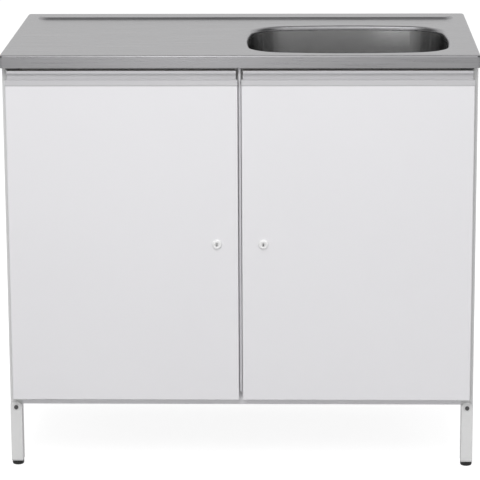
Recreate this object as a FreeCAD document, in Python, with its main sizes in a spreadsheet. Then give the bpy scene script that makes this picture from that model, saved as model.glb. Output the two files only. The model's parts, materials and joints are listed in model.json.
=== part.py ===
import FreeCAD, Part
import math
import os
import Sketcher

# Kitchen sink unit: a pressed stainless worktop with one bowl on a two-door sheet-steel cabinet
# that stands on four adjustable legs. Millimetres; +X to the right seen from the front,
# +Y to the wall, +Z up; the origin is on the floor under the middle of the worktop.

Vector = FreeCAD.Vector
doc = FreeCAD.newDocument("kitchen_sink_unit")
sheet = doc.addObject("Spreadsheet::Sheet", "Sizes")


# ---------------------------------------------------------------- sizes and formulas

class Size:
    """A length together with the sheet formula that gives it."""

    def __init__(self, value, formula):
        self.value = float(value)
        self.formula = formula

    def combined(self, sign, other, value):
        return Size(value, "(%s %s %s)" % (self.formula, sign, other.formula))

    def __add__(self, other):
        other = sized(other)
        return self.combined("+", other, self.value + other.value)

    def __sub__(self, other):
        other = sized(other)
        return self.combined("-", other, self.value - other.value)

    def __mul__(self, other):
        other = sized(other)
        return self.combined("*", other, self.value * other.value)

    def __truediv__(self, other):
        other = sized(other)
        return self.combined("/", other, self.value / other.value)

    def __radd__(self, other):
        return sized(other) + self

    def __rsub__(self, other):
        return sized(other) - self

    def __rmul__(self, other):
        return sized(other) * self

    def __neg__(self):
        return -1 * self


def sized(number):
    """Plain numbers become formulas too, so that both kinds mix."""
    if isinstance(number, Size):
        return number
    return Size(number, "(%s)" % float(number))


TOUCH = 0.01  # nearer than this counts as the same place
rows_filled = 0


def size(alias, number, note):
    """One driving dimension: a row of the sheet with its note, number and alias."""
    global rows_filled
    rows_filled += 1
    cell = "B%d" % rows_filled
    sheet.set("A%d" % rows_filled, note)
    sheet.set(cell, str(number))
    sheet.setAlias(cell, alias)
    sheet.recompute()
    return Size(sheet.get(alias), "Sizes." + alias)


def smaller(first, second):
    return first if first.value < second.value else second


# worktop
unit_width = size("unit_width", 1000, "worktop, left to right")
unit_depth = size("unit_depth", 600, "worktop, front to wall")
worktop_height = size("worktop_height", 900, "floor to the flat of the worktop")
edge_depth = size("edge_depth", 27, "folded edge, top to bottom")
top_gauge = size("top_gauge", 1, "stainless sheet of the worktop")
edge_arris = size("edge_arris", 5, "rounding of the worktop's upper edge")
edge_corner = size("edge_corner", 8, "rounding of the worktop's upright corners")
edge_fold = size("edge_fold", 1.5, "rounding of the fold under the edge")
return_lip = size("return_lip", 13, "lip folded inwards under the edge")
core_gap = size("core_gap", 0.5, "worktop board to the folded edge")
ledge_width = size("ledge_width", 950, "raised tap ledge, left to right")
ledge_depth = size("ledge_depth", 62, "raised tap ledge, front to rear")
ledge_height = size("ledge_height", 4, "rise of the tap ledge")
ledge_slope = size("ledge_slope", 9, "run of the ledge's sloping flank")
ledge_rear_flat = size("ledge_rear_flat", 33, "worktop's rear edge to the ledge")

# bowl and waste
bowl_width = size("bowl_width", 430, "bowl opening, wall to wall")
bowl_length = size("bowl_length", 373, "bowl opening, front wall to rear wall")
bowl_side_gap = size("bowl_side_gap", 57, "worktop's right end to the bowl's wall")
bowl_front_gap = size("bowl_front_gap", 35, "worktop's front to the bowl's front wall")
bowl_bow = size("bowl_bow", 900, "radius of the bowl's four shallow side arcs")
bowl_corner = size("bowl_corner", 82, "radius of the bowl's corners")
bowl_depth = size("bowl_depth", 150, "worktop to the bowl's floor")
bowl_draft = size("bowl_draft", 9, "how far the walls lean in over the depth")
bowl_floor_round = size("bowl_floor_round", 32, "rounding from wall to floor")
rim_round = size("rim_round", 8, "rolled rim of the opening")
weld_drop = size("weld_drop", 10, "worktop to the weld between rim and bowl")
recess_radius = size("recess_radius", 59, "sunk seat of the strainer")
recess_drop = size("recess_drop", 4, "depth of the strainer's seat")
waste_hole = size("waste_hole", 44, "radius of the hole in the bowl's floor")
waste_flange = size("waste_flange", 57, "radius of the strainer body's flange")
waste_cup = size("waste_cup", 41, "outer radius of the strainer cup")
waste_cup_depth = size("waste_cup_depth", 34, "depth of the strainer cup")
waste_wall = size("waste_wall", 1.5, "wall of the strainer body")
seal_height = size("seal_height", 3, "rubber seal under the bowl")
backnut_height = size("backnut_height", 11, "nut that clamps the waste")
backnut_radius = size("backnut_radius", 56, "outer radius of the back nut")
nut_groove = size("nut_groove", 3, "radius of the back nut's grip grooves")
nut_groove_height = size("nut_groove_height", 7.7, "the back nut's grip grooves")
basket_radius = size("basket_radius", 38, "rim of the lift-out basket")
basket_wall = size("basket_wall", 1.2, "wall of the basket")
basket_depth = size("basket_depth", 26, "depth of the basket")
basket_foot = size("basket_foot", 30.4, "radius of the basket's floor")
basket_stem = size("basket_stem", 3.6, "radius of the basket's stem")
basket_knob = size("basket_knob", 9.6, "radius of the basket's knob")
basket_inner_row = size("basket_inner_row", 13.7, "radius of the inner ring of holes")
basket_outer_row = size("basket_outer_row", 22.8, "radius of the outer ring of holes")
basket_hole = size("basket_hole", 2.4, "radius of one drain hole")
pipe_radius = size("pipe_radius", 20, "waste pipe, outside")
pipe_wall = size("pipe_wall", 2, "waste pipe wall")
tail_length = size("tail_length", 60, "pipe between strainer and trap")
trap_radius = size("trap_radius", 33, "bottle trap, outside")
trap_wall = size("trap_wall", 2.5, "bottle trap wall")
trap_upper = size("trap_upper", 62, "upper half of the bottle trap")
trap_lower = size("trap_lower", 58, "screw-off cup of the bottle trap")
union_radius = size("union_radius", 27, "union nuts, outside")
union_height = size("union_height", 20, "union nuts, length")
union_shoulder = size("union_shoulder", 14, "union nuts, up to their bevel")
outlet_end_gap = size("outlet_end_gap", 2, "outlet pipe's end to the wall line")
outlet_spigot = size("outlet_spigot", 45, "free end of the outlet, up to its stop bead")
stop_bead = size("stop_bead", 2, "height and half width of the stop bead")

# carcass
steel_gauge = size("steel_gauge", 1, "cabinet sheet steel")
body_side_gap = size("body_side_gap", 3, "worktop's end to the side panel")
body_front_gap = size("body_front_gap", 30, "worktop's front to the carcass front")
body_rear_gap = size("body_rear_gap", 10, "carcass rear to the wall line")
leg_clearance = size("leg_clearance", 138, "floor to the carcass bottom")
front_flange = size("front_flange", 25, "front flange of a side panel")
rear_flange = size("rear_flange", 20, "rear flange of a side panel")
bend_radius = size("bend_radius", 2, "outer radius of the sheet bends")
fit_gap = size("fit_gap", 0.3, "assembly gap between sheet parts")
overrun = size("overrun", 1, "how far a cut runs past a face")
floor_rise = size("floor_rise", 33, "bottom rail, top to bottom")
floor_lip = size("floor_lip", 12, "lip under the bottom rail")
rail_height = size("rail_height", 27, "top rails, top to bottom")
rail_flange = size("rail_flange", 20, "top rails' flange")
post_width = size("post_width", 30, "centre post")
post_depth = size("post_depth", 20, "centre post, front to rear")
nose_width = size("nose_width", 5, "rib of the post between the doors")
nose_inset = size("nose_inset", 12, "door face to the rib's front")
nose_top_gap = size("nose_top_gap", 1, "worktop's edge to the rib's top")
nose_round = size("nose_round", 1, "rounding of the rib's bends")
shelf_height = size("shelf_height", 440, "floor to the shelf")
shelf_front_gap = size("shelf_front_gap", 26, "carcass front to the shelf")
shelf_rear_gap = size("shelf_rear_gap", 10, "carcass rear to the shelf")
shelf_edge = size("shelf_edge", 25, "folded edge of the shelf")
clip_length = size("clip_length", 12, "shelf clips")
clip_reach = size("clip_reach", 10, "how far a clip stands out")
service_width = size("service_width", 220, "rear opening for the pipes, width")
service_height = size("service_height", 230, "rear opening for the pipes, height")
service_low = size("service_low", 510, "floor to the rear opening")
wall_hole_radius = size("wall_hole_radius", 4, "holes for the wall screws")
wall_hole_inset = size("wall_hole_inset", 70, "worktop's end to a wall screw")

# doors
door_front_gap = size("door_front_gap", 4, "worktop's front to the door face")
door_thickness = size("door_thickness", 20, "door, front to back")
door_side_gap = size("door_side_gap", 11.5, "worktop's end to the door's edge")
door_middle_gap = size("door_middle_gap", 8, "between the two doors")
door_low_gap = size("door_low_gap", 18, "carcass bottom to the door bottom")
door_top_gap = size("door_top_gap", 6, "worktop's edge to the grip")
door_gauge = size("door_gauge", 1, "sheet of the doors")
stiffener_width = size("stiffener_width", 80, "channel inside a door")
stiffener_flange = size("stiffener_flange", 15, "flanges of that channel")
bumper_radius = size("bumper_radius", 5, "rubber door bumpers")
bumper_inset = size("bumper_inset", 8, "door's inner edge to a bumper")
bumper_margin = size("bumper_margin", 60, "door's top or bottom to a bumper")

# grip profile
grip_height = size("grip_height", 32, "grip profile, top to bottom")
grip_wall = size("grip_wall", 1.5, "wall of the grip profile")
lip_height = size("lip_height", 5.5, "lip that the fingers pull")
lip_setback = size("lip_setback", 1.5, "lip behind the door face")
cove_depth = size("cove_depth", 10, "depth of the finger cove")
cove_height = size("cove_height", 14.5, "height of the finger cove")
cove_round = size("cove_round", 13, "radius of the cove")
grip_tongue = size("grip_tongue", 12, "tongues inside the door's sheet")
grip_notch = size("grip_notch", 3.5, "ends of the cove cut back")
grip_seam = size("grip_seam", 0.5, "joint between grip and door sheet")
band_bevel = size("band_bevel", 3, "bevel under the band, top to bottom")
band_bevel_depth = size("band_bevel_depth", 1, "bevel under the band, front to back")

# hinges and locks
pivot_inset = size("pivot_inset", 7.5, "door's outer edge to the pivot")
pivot_depth = size("pivot_depth", 15, "door face to the pivot")
pivot_fit = size("pivot_fit", 0.05, "running clearance of a pivot")
upper_pin = size("upper_pin", 2, "radius of the upper pivot pin")
upper_pin_length = size("upper_pin_length", 16, "upper pivot pin")
lower_pin = size("lower_pin", 2.5, "radius of the lower pivot pin")
lower_pin_length = size("lower_pin_length", 16, "lower pivot pin")
bracket_gauge = size("bracket_gauge", 2.5, "plate of the upper hinge brackets")
bracket_low_gauge = size("bracket_low_gauge", 2, "plate of the lower hinge brackets")
bracket_width = size("bracket_width", 28, "hinge brackets, left to right")
bracket_reach = size("bracket_reach", 8, "plate past the pivot")
bush_flange = size("bush_flange", 6, "radius of the lower bush's flange")
bush_collar = size("bush_collar", 1.4, "flange of the lower bush, top to bottom")
bush_radius = size("bush_radius", 3.6, "radius of the lower bush")
bush_length = size("bush_length", 12, "lower bush inside the door")
lock_inset = size("lock_inset", 45, "door's inner edge to the lock")
lock_height = size("lock_height", 497, "floor to the locks")
rosette_radius = size("rosette_radius", 10.5, "white ring of the lock")
rosette_height = size("rosette_height", 4, "ring in front of the door")
rosette_edge = size("rosette_edge", 0.8, "straight rim of the ring")
rosette_round = size("rosette_round", 4.2, "rounding of the ring")
rosette_face = size("rosette_face", 7, "radius where the ring stands out most")
plug_recess = size("plug_recess", 0.5, "plug behind the ring's front")
lock_barrel = size("lock_barrel", 8, "radius of the lock's barrel")
plug_radius = size("plug_radius", 4.5, "radius of the turning plug")
key_width = size("key_width", 3, "key slot, left to right")
key_height = size("key_height", 7, "key slot, top to bottom")
key_depth = size("key_depth", 9, "depth of the key slot")
cam_length = size("cam_length", 38, "lock cam, axis to tip")
cam_width = size("cam_width", 12, "lock cam")
cam_gauge = size("cam_gauge", 2, "lock cam sheet")
cam_gap = size("cam_gap", 1.5, "cam behind the post's front")
lock_nut_radius = size("lock_nut_radius", 13, "nut of the lock, over corners")
lock_nut_height = size("lock_nut_height", 3.5, "nut of the lock")

# legs and feet
leg_width = size("leg_width", 25, "leg tube, left to right")
leg_depth = size("leg_depth", 30, "leg tube, front to rear")
leg_wall = size("leg_wall", 1.5, "leg tube wall")
leg_front_gap = size("leg_front_gap", 25, "worktop's front to the leg")
screw_drop = size("screw_drop", 6.5, "carcass bottom to the leg screw")
leg_screw = size("leg_screw", 3, "radius of the leg screw")
leg_screw_head = size("leg_screw_head", 4.5, "radius of the leg screw's head")
leg_screw_head_height = size("leg_screw_head_height", 2.2, "head of the leg screw")
mount_length = size("mount_length", 30, "leg mount inside the tube")
mount_gap = size("mount_gap", 0.3, "leg mount to the tube wall")
mount_wall = size("mount_wall", 2, "leg mount wall")
foot_radius = size("foot_radius", 12.5, "levelling foot")
foot_height = size("foot_height", 10.5, "levelling foot's pad")
foot_round = size("foot_round", 3.5, "rounding under the foot")
foot_gap = size("foot_gap", 0.4, "foot to the leg's end plug")
stem_radius = size("stem_radius", 4, "threaded stem of the foot")
stem_length = size("stem_length", 46, "threaded stem of the foot")
stem_fit = size("stem_fit", 0.06, "running clearance of the stem")
plug_flange = size("plug_flange", 3, "end plug's flange")
plug_length = size("plug_length", 20, "end plug inside the tube")
top_screw = size("top_screw", 2, "radius of the worktop screws")
top_screw_length = size("top_screw_length", 18, "worktop screws")
top_screw_head = size("top_screw_head", 4, "radius of a worktop screw's head")
top_screw_head_height = size("top_screw_head_height", 2.4, "head of a worktop screw")

# ---------------------------------------------------------------- levels and planes

half_width = unit_width / 2
front = -1 * (unit_depth / 2)
rear = unit_depth / 2
edge_bottom = worktop_height - edge_depth
sheet_under = worktop_height - top_gauge
core_bottom = edge_bottom + top_gauge
body_side = half_width - body_side_gap
body_front = front + body_front_gap
body_rear = rear - body_rear_gap
body_bottom = leg_clearance
floor_top = body_bottom + floor_rise
rail_bottom = edge_bottom - rail_height
door_face = front + door_front_gap
door_back = door_face + door_thickness
door_outer = half_width - door_side_gap
door_inner = door_middle_gap / 2
door_width = door_outer - door_inner
door_bottom = body_bottom + door_low_gap
grip_top = edge_bottom - door_top_gap
grip_bottom = grip_top - grip_height
skin_top = grip_bottom - grip_seam
pivot_x = door_outer - pivot_inset
pivot_y = door_face + pivot_depth
lock_x = door_inner + lock_inset
bowl_x = half_width - bowl_side_gap - bowl_width / 2
bowl_y = front + bowl_front_gap + bowl_length / 2
weld_level = worktop_height - weld_drop
bowl_floor = worktop_height - bowl_depth
seat_level = bowl_floor - recess_drop
seat_under = seat_level - top_gauge
leg_x = body_side - leg_width / 2
leg_y = unit_depth / 2 - leg_front_gap - leg_depth / 2
leg_end = foot_height + foot_gap + plug_flange
post_front = body_front
inner_side = body_side - steel_gauge
tight_gap = fit_gap / 3


# ---------------------------------------------------------------- modelling helpers

nodes = []


def bind(target, path, quantity):
    target.setExpression(path, sized(quantity).formula)


def keep(target, name):
    """Names an object as one finished piece."""
    target.Label = name
    nodes.append(target)
    return target


def span(one, other):
    """Two limits in rising order."""
    one, other = sized(one), sized(other)
    return (one, other) if one.value < other.value else (other, one)


def block(x, y, z, name="block"):
    """A block between its low and high limits along X, Y and Z."""
    made = doc.addObject("Part::Box", name)
    for side, axis, (low, high) in (("Length", "x", x), ("Width", "y", y), ("Height", "z", z)):
        bind(made, side, high - low)
        bind(made, "Placement.Base." + axis, low)
    return made


TURNS = {
    "z": FreeCAD.Rotation(),
    "y": FreeCAD.Rotation(Vector(1, 0, 0), -90),
    "-y": FreeCAD.Rotation(Vector(1, 0, 0), 90),
    "x": FreeCAD.Rotation(Vector(0, 1, 0), 90),
}


def set_base(target, x, y, z, direction="z"):
    """Places an object by formulas, with its own Z along a direction."""
    target.Placement = FreeCAD.Placement(Vector(0, 0, 0), TURNS[direction])
    for axis, quantity in (("x", x), ("y", y), ("z", z)):
        bind(target, "Placement.Base." + axis, quantity)
    return target


def rod(x, y, z, radius, length, direction="z", name="rod"):
    """A cylinder from its base point along a direction."""
    made = doc.addObject("Part::Cylinder", name)
    bind(made, "Radius", radius)
    bind(made, "Height", length)
    return set_base(made, x, y, z, direction)


def fuse(parts, name="fused"):
    made = doc.addObject("Part::MultiFuse", name)
    made.Shapes = parts
    made.Refine = True
    return made


def cut(base, tools, name="cut"):
    made = doc.addObject("Part::Cut", name)
    made.Base = base
    made.Tool = tools[0] if len(tools) == 1 else fuse(tools, name + "_tools")
    made.Refine = True
    return made


def group(parts, name):
    """Identical small pieces as one node of separate solids."""
    made = doc.addObject("Part::Compound", name)
    made.Links = parts
    return made


def rounded(base, edges, radius, name="rounded"):
    """Rounds the edges that a test picks."""
    doc.recompute()
    picked = [number for number, edge in enumerate(base.Shape.Edges, start=1) if edges(edge)]
    made = doc.addObject("Part::Fillet", name)
    made.Base = base
    made.Edges = [(number, radius.value, radius.value) for number in picked]
    return made


def new_body(name, x=0, y=0, z=0, direction="z"):
    body = doc.addObject("PartDesign::Body", name)
    set_base(body, x, y, z, direction)
    return body


def new_sketch(body, plane, offset=0):
    """A sketch on one of the body's own planes, moved along the plane's normal."""
    sketch = body.newObject("Sketcher::SketchObject", body.Name + "_sketch")
    origin_plane = [part for part in body.Origin.OriginFeatures if part.Role == plane][0]
    sketch.AttachmentSupport = [(origin_plane, "")]
    sketch.MapMode = "FlatFace"
    bind(sketch, "AttachmentOffset.Base.z", offset)
    return sketch


def pin_point(sketch, geometry, end, point):
    """Ties a sketch point to the origin by two bound distances."""
    for kind, quantity in zip(("DistanceX", "DistanceY"), point):
        quantity = sized(quantity)
        index = sketch.addConstraint(Sketcher.Constraint(kind, -1, 1, geometry, end, quantity.value))
        label = "%s_%d_%d" % (kind, geometry, end)
        sketch.renameConstraint(index, label)
        bind(sketch, "Constraints." + label, quantity)


def flat_point(point):
    return Vector(sized(point[0]).value, sized(point[1]).value, 0)


def arc_middle(start, end, radius, side):
    """Middle of the arc from start to end that bulges to the left (+1) or right (-1)."""
    chord = end - start
    half = chord.Length / 2
    reach = radius - math.sqrt(max(radius * radius - half * half, 0))
    normal = Vector(-chord.y, chord.x, 0).normalize()
    return (start + end) * 0.5 + normal * (reach * side)


def draw_outline(sketch, corners, arcs=None):
    """A closed outline; arcs maps a side's number to its (radius, bulge side)."""
    arcs = arcs or {}
    first = sketch.GeometryCount
    points = [flat_point(corner) for corner in corners]
    count = len(points)
    starts = []
    for side in range(count):
        begin, finish = points[side], points[(side + 1) % count]
        if side in arcs:
            radius, bulge = arcs[side]
            middle = arc_middle(begin, finish, radius.value, bulge)
            sketch.addGeometry(Part.Arc(begin, middle, finish), False)
        else:
            sketch.addGeometry(Part.LineSegment(begin, finish), False)
        drawn = sketch.Geometry[first + side]
        starts.append(1 if drawn.StartPoint.distanceToPoint(begin) < TOUCH else 2)
    for side in range(count):
        following = (side + 1) % count
        sketch.addConstraint(Sketcher.Constraint(
            "Coincident", first + side, 3 - starts[side], first + following, starts[following]))
    for side in range(count):
        pin_point(sketch, first + side, starts[side], corners[side])
    for side, (radius, bulge) in arcs.items():
        index = sketch.addConstraint(Sketcher.Constraint("Radius", first + side, radius.value))
        label = "radius_%d" % (first + side)
        sketch.renameConstraint(index, label)
        bind(sketch, "Constraints." + label, radius)
    return sketch


def draw_rectangle(sketch, across, up):
    (left, right), (low, high) = across, up
    return draw_outline(sketch, [(left, low), (right, low), (right, high), (left, high)])


def draw_circle(sketch, centre, radius):
    radius = sized(radius)
    index = sketch.addGeometry(Part.Circle(flat_point(centre), Vector(0, 0, 1), radius.value), False)
    pin_point(sketch, index, 3, centre)
    made = sketch.addConstraint(Sketcher.Constraint("Radius", index, radius.value))
    label = "radius_%d" % index
    sketch.renameConstraint(made, label)
    bind(sketch, "Constraints." + label, radius)
    return sketch


def pad(body, sketch, length, backwards=False):
    made = body.newObject("PartDesign::Pad", body.Name + "_pad")
    made.Profile = sketch
    made.Reversed = backwards
    bind(made, "Length", length)
    return made


def pocket_through(body, sketch):
    """Cuts a sketch through the whole body, both ways, and checks that it cut."""
    doc.recompute()
    before = body.Shape.Volume
    made = body.newObject("PartDesign::Pocket", body.Name + "_pocket")
    made.Profile = sketch
    made.Type = "ThroughAll"
    made.Midplane = True
    doc.recompute()
    if not body.Shape.Volume < before:
        raise RuntimeError(body.Name + ": a pocket cut nothing")
    return made


def pocket_down(body, sketch, depth):
    """Cuts a sketch to a depth against its normal, and checks that it cut."""
    doc.recompute()
    before = body.Shape.Volume
    made = body.newObject("PartDesign::Pocket", body.Name + "_pocket")
    made.Profile = sketch
    bind(made, "Length", depth)
    doc.recompute()
    if not body.Shape.Volume < before:
        raise RuntimeError(body.Name + ": a pocket cut nothing")
    return made


def body_round(body, edges, radius):
    """Rounds the edges of the body's last feature that a test picks."""
    doc.recompute()
    tip = body.Tip
    picked = ["Edge%d" % number for number, edge in enumerate(tip.Shape.Edges, start=1) if edges(edge)]
    if not picked:
        raise RuntimeError(body.Name + ": no edge to round")
    made = body.newObject("PartDesign::Fillet", body.Name + "_round")
    made.Base = (tip, picked)
    bind(made, "Radius", radius)
    return made


def turned(name, outline, x, y, z, direction="z", arcs=None):
    """A turned piece: an outline of (radius, height) points swept round its axis."""
    body = new_body(name, x, y, z, direction)
    sketch = draw_outline(new_sketch(body, "XZ_Plane"), outline, arcs)
    made = body.newObject("PartDesign::Revolution", name + "_turn")
    made.Profile = sketch
    made.ReferenceAxis = (sketch, ["V_Axis"])
    made.Angle = 360
    return body


def near(one, other):
    return abs(one - other) < TOUCH


def upright(edge):
    """Whether an edge is a straight upright one."""
    ends = edge.BoundBox
    return ends.XLength < TOUCH and ends.YLength < TOUCH and ends.ZLength > overrun.value


def lying_at(level):
    """Picks the edges that lie flat at a height."""
    return lambda edge: edge.BoundBox.ZLength < TOUCH and near(edge.BoundBox.ZMin, level.value)


def upright_at(*places):
    """Picks the upright edges at given (x, y) places, in the body's own frame."""
    def chosen(edge):
        middle = edge.BoundBox.Center
        return upright(edge) and any(near(middle.x, x.value) and near(middle.y, y.value) for x, y in places)
    return chosen


# ---------------------------------------------------------------- worktop and bowl

def bowed_outline(level, grow):
    """The bowl's outline at a height, grown outwards: four shallow arcs and four corner arcs."""
    half_across = bowl_width.value / 2 + grow
    half_along = bowl_length.value / 2 + grow
    side_radius = bowl_bow.value + grow
    corner_radius = bowl_corner.value + grow
    side_centre = Vector(half_across - side_radius, 0, 0)
    end_centre = Vector(0, half_along - side_radius, 0)
    reach = side_radius - corner_radius
    between = end_centre - side_centre
    half = between.Length / 2
    lift = math.sqrt(reach * reach - half * half)
    normal = Vector(between.y, -between.x, 0).normalize()
    if normal.x + normal.y < 0:
        normal = normal * -1
    corner_centre = (side_centre + end_centre) * 0.5 + normal * lift
    side_touch = side_centre + (corner_centre - side_centre).normalize() * side_radius
    end_touch = end_centre + (corner_centre - end_centre).normalize() * side_radius
    diagonal = (side_touch - corner_centre) + (end_touch - corner_centre)
    corner_middle = corner_centre + diagonal.normalize() * corner_radius

    def point(place, flip_x, flip_y):
        return Vector(bowl_x.value + place.x * flip_x, bowl_y.value + place.y * flip_y, level)

    right = Vector(half_across, 0, 0)
    back = Vector(0, half_along, 0)
    edges = []
    for flip_x, flip_y in ((1, 1), (-1, 1), (-1, -1), (1, -1)):
        corner = [point(place, flip_x, flip_y) for place in (side_touch, corner_middle, end_touch)]
        if flip_x * flip_y < 0:
            corner.reverse()
        edges.append(Part.Arc(*corner).toShape())
        if flip_x * flip_y > 0:
            ends = (point(end_touch, flip_x, flip_y), point(back, flip_x, flip_y),
                    point(end_touch, -flip_x, flip_y))
        else:
            ends = (point(side_touch, flip_x, flip_y), point(right, flip_x, flip_y),
                    point(side_touch, flip_x, -flip_y))
        edges.append(Part.Arc(*ends).toShape())
    return Part.Wire(edges)


def bowed_prism(low, high, grow, name):
    """A straight-walled block with the bowl's outline."""
    made = doc.addObject("Part::Feature", name)
    face = Part.Face(bowed_outline(low.value, grow))
    made.Shape = face.extrude(Vector(0, 0, high.value - low.value))
    return made


def at_level(level):
    """Picks edges that lie flat at a height, within the bowl's part of the worktop."""
    def chosen(edge):
        box = edge.BoundBox
        margin = rim_round.value + overrun.value * 2
        inside = abs(box.Center.x - bowl_x.value) < bowl_width.value / 2 + margin
        inside = inside and abs(box.Center.y - bowl_y.value) < bowl_length.value / 2 + margin
        return inside and box.ZLength < TOUCH and near(box.ZMin, level.value)
    return chosen


def pill(low, high, shrink, name):
    """A round-ended block for the tap ledge, its flank sloping in towards the top."""
    middle = rear - ledge_rear_flat - ledge_depth / 2

    def round_ended(level, inset):
        radius = ledge_depth.value / 2 - inset
        reach = ledge_width.value / 2 - inset - radius
        right_low = Vector(reach, middle.value - radius, level)
        right_tip = Vector(reach + radius, middle.value, level)
        right_high = Vector(reach, middle.value + radius, level)
        left_high = Vector(-reach, middle.value + radius, level)
        left_tip = Vector(-reach - radius, middle.value, level)
        left_low = Vector(-reach, middle.value - radius, level)
        return Part.Wire([
            Part.LineSegment(left_low, right_low).toShape(),
            Part.Arc(right_low, right_tip, right_high).toShape(),
            Part.LineSegment(right_high, left_high).toShape(),
            Part.Arc(left_high, left_tip, left_low).toShape()])

    made = doc.addObject("Part::Feature", name)
    lower = round_ended(low.value, shrink.value)
    upper = round_ended(high.value, shrink.value + ledge_slope.value)
    made.Shape = Part.makeLoft([lower, upper], True, True)
    return made


def worktop_sheet():
    """Pressed worktop: folded edge with its return lip, tap ledge and rolled bowl rim."""
    edge = block(span(-half_width, half_width), span(front, rear), span(edge_bottom, worktop_height))
    edge = rounded(edge, upright, edge_corner)
    ledge = pill(worktop_height - top_gauge, worktop_height + ledge_height, sized(0), "ledge_form")
    outside = fuse([edge, ledge])

    def upper_arris(found):
        box = found.BoundBox
        on_rim = near(abs(box.Center.x), half_width.value) or near(abs(box.Center.y), rear.value)
        corner = max(box.XLength, box.YLength) < edge_corner.value + overrun.value
        far_out = abs(box.Center.x) > half_width.value - edge_corner.value
        level = near(box.ZMin, worktop_height.value) and box.ZLength < TOUCH
        return level and (on_rim or (corner and far_out))

    outside = rounded(outside, upper_arris, edge_arris)
    outside = rounded(outside, lying_at(edge_bottom), edge_fold)
    inner_x = half_width - top_gauge
    inner_y = rear - top_gauge
    cavity = block(span(-inner_x, inner_x), span(-inner_y, inner_y), span(core_bottom, sheet_under))
    cavity = rounded(cavity, upright, edge_corner - top_gauge)
    cavity = rounded(cavity, lying_at(sheet_under), edge_arris - top_gauge)
    lip_x = half_width - return_lip
    lip_y = rear - return_lip
    window = block(span(-lip_x, lip_x), span(-lip_y, lip_y),
                   span(edge_bottom - top_gauge, sheet_under - top_gauge))
    hollow = pill(sheet_under - top_gauge, worktop_height + ledge_height - top_gauge, top_gauge,
                  "ledge_hollow")
    sheet_form = cut(outside, [cavity, window, hollow], "worktop_shell")
    collar = bowed_prism(weld_level, sheet_under, top_gauge.value, "rim_collar")
    sheet_form = fuse([sheet_form, collar], "worktop_collared")
    sheet_form = rounded(sheet_form, at_level(sheet_under), rim_round - top_gauge, "rim_underside")
    opening = bowed_prism(weld_level - top_gauge, worktop_height + top_gauge, 0, "rim_opening")
    sheet_form = cut(sheet_form, [opening], "worktop_opened")
    keep(rounded(sheet_form, at_level(worktop_height), rim_round, "worktop"), "worktop")


def worktop_board():
    """Board inside the folded edge, cut out round the bowl."""
    across = half_width - top_gauge - core_gap
    along = rear - top_gauge - core_gap
    board = block(span(-across, across), span(-along, along), span(core_bottom, sheet_under))
    board = rounded(board, upright, edge_corner - top_gauge)
    board = rounded(board, lying_at(sheet_under), edge_arris - top_gauge)
    clear = rim_round.value + top_gauge.value * 2
    hole = bowed_prism(core_bottom - top_gauge, worktop_height, clear, "board_opening")
    screws = [rod(x, y, edge_bottom - top_screw_head_height, top_screw + fit_gap / 2,
                  top_screw_length + fit_gap) for x, y in top_screw_places()]
    keep(cut(board, [hole] + screws, "worktop_core"), "worktop_core")


def top_screw_places():
    """Where the rails are screwed to the worktop's board."""
    front_row = body_front + steel_gauge + rail_flange / 2
    rear_row = body_rear - steel_gauge - rail_flange / 2
    outer = half_width - wall_hole_inset
    inner = outer / 3
    return [(-outer, front_row), (-inner, front_row), (-outer, rear_row), (sized(0), rear_row),
            (outer, rear_row)]


def bowl():
    """Drawn bowl: leaning walls, rounded floor and a sunk seat with the waste hole."""
    def drawn(grow, top, bottom, name):
        form = doc.addObject("Part::Feature", name)
        upper = bowed_outline(top.value, grow)
        lower = bowed_outline(bottom.value, grow - bowl_draft.value)
        form.Shape = Part.makeLoft([upper, lower], True, True)
        return form

    gauge = top_gauge.value
    outside = drawn(gauge, weld_level, bowl_floor - top_gauge, "bowl_outside")
    outside = rounded(outside, at_level(bowl_floor - top_gauge), bowl_floor_round + top_gauge)
    inside = drawn(0, weld_level, bowl_floor, "bowl_inside")
    inside = rounded(inside, at_level(bowl_floor), bowl_floor_round)
    seat_outside = rod(bowl_x, bowl_y, seat_under, recess_radius + top_gauge, recess_drop + top_gauge)
    seat_inside = rod(bowl_x, bowl_y, seat_level, recess_radius, recess_drop + top_gauge)
    hole = rod(bowl_x, bowl_y, seat_under - top_gauge, waste_hole, recess_drop * 3)
    keep(cut(fuse([outside, seat_outside]), [inside, seat_inside, hole], "sink_bowl"), "sink_bowl")


# ---------------------------------------------------------------- waste and trap

cup_under = seat_level - waste_cup_depth
tail_bottom = cup_under - tail_length
trap_top = tail_bottom + union_height / 2
trap_joint = trap_top - trap_upper
outlet_z = trap_top - trap_upper / 2


def waste_body():
    """Strainer body: flange on the seat, cup below it and a threaded outlet."""
    inner = waste_cup - waste_wall
    bore = pipe_radius - pipe_wall
    outlet_end = -waste_cup_depth - union_height
    outline = [
        (inner, waste_wall), (waste_flange, waste_wall), (waste_flange, sized(0)), (waste_cup, sized(0)),
        (waste_cup, -waste_cup_depth), (pipe_radius, -waste_cup_depth), (pipe_radius, outlet_end),
        (bore, outlet_end), (bore, waste_wall - waste_cup_depth), (inner, waste_wall - waste_cup_depth)]
    keep(turned("waste_body", outline, bowl_x, bowl_y, seat_level), "waste_body")


def ring(name, inner, outer, low, high, x=None, y=None, direction="z"):
    """A plain ring between two radii."""
    outline = [(inner, sized(0)), (outer, sized(0)), (outer, high - low), (inner, high - low)]
    return turned(name, outline, bowl_x if x is None else x, bowl_y if y is None else y, low, direction)


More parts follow.
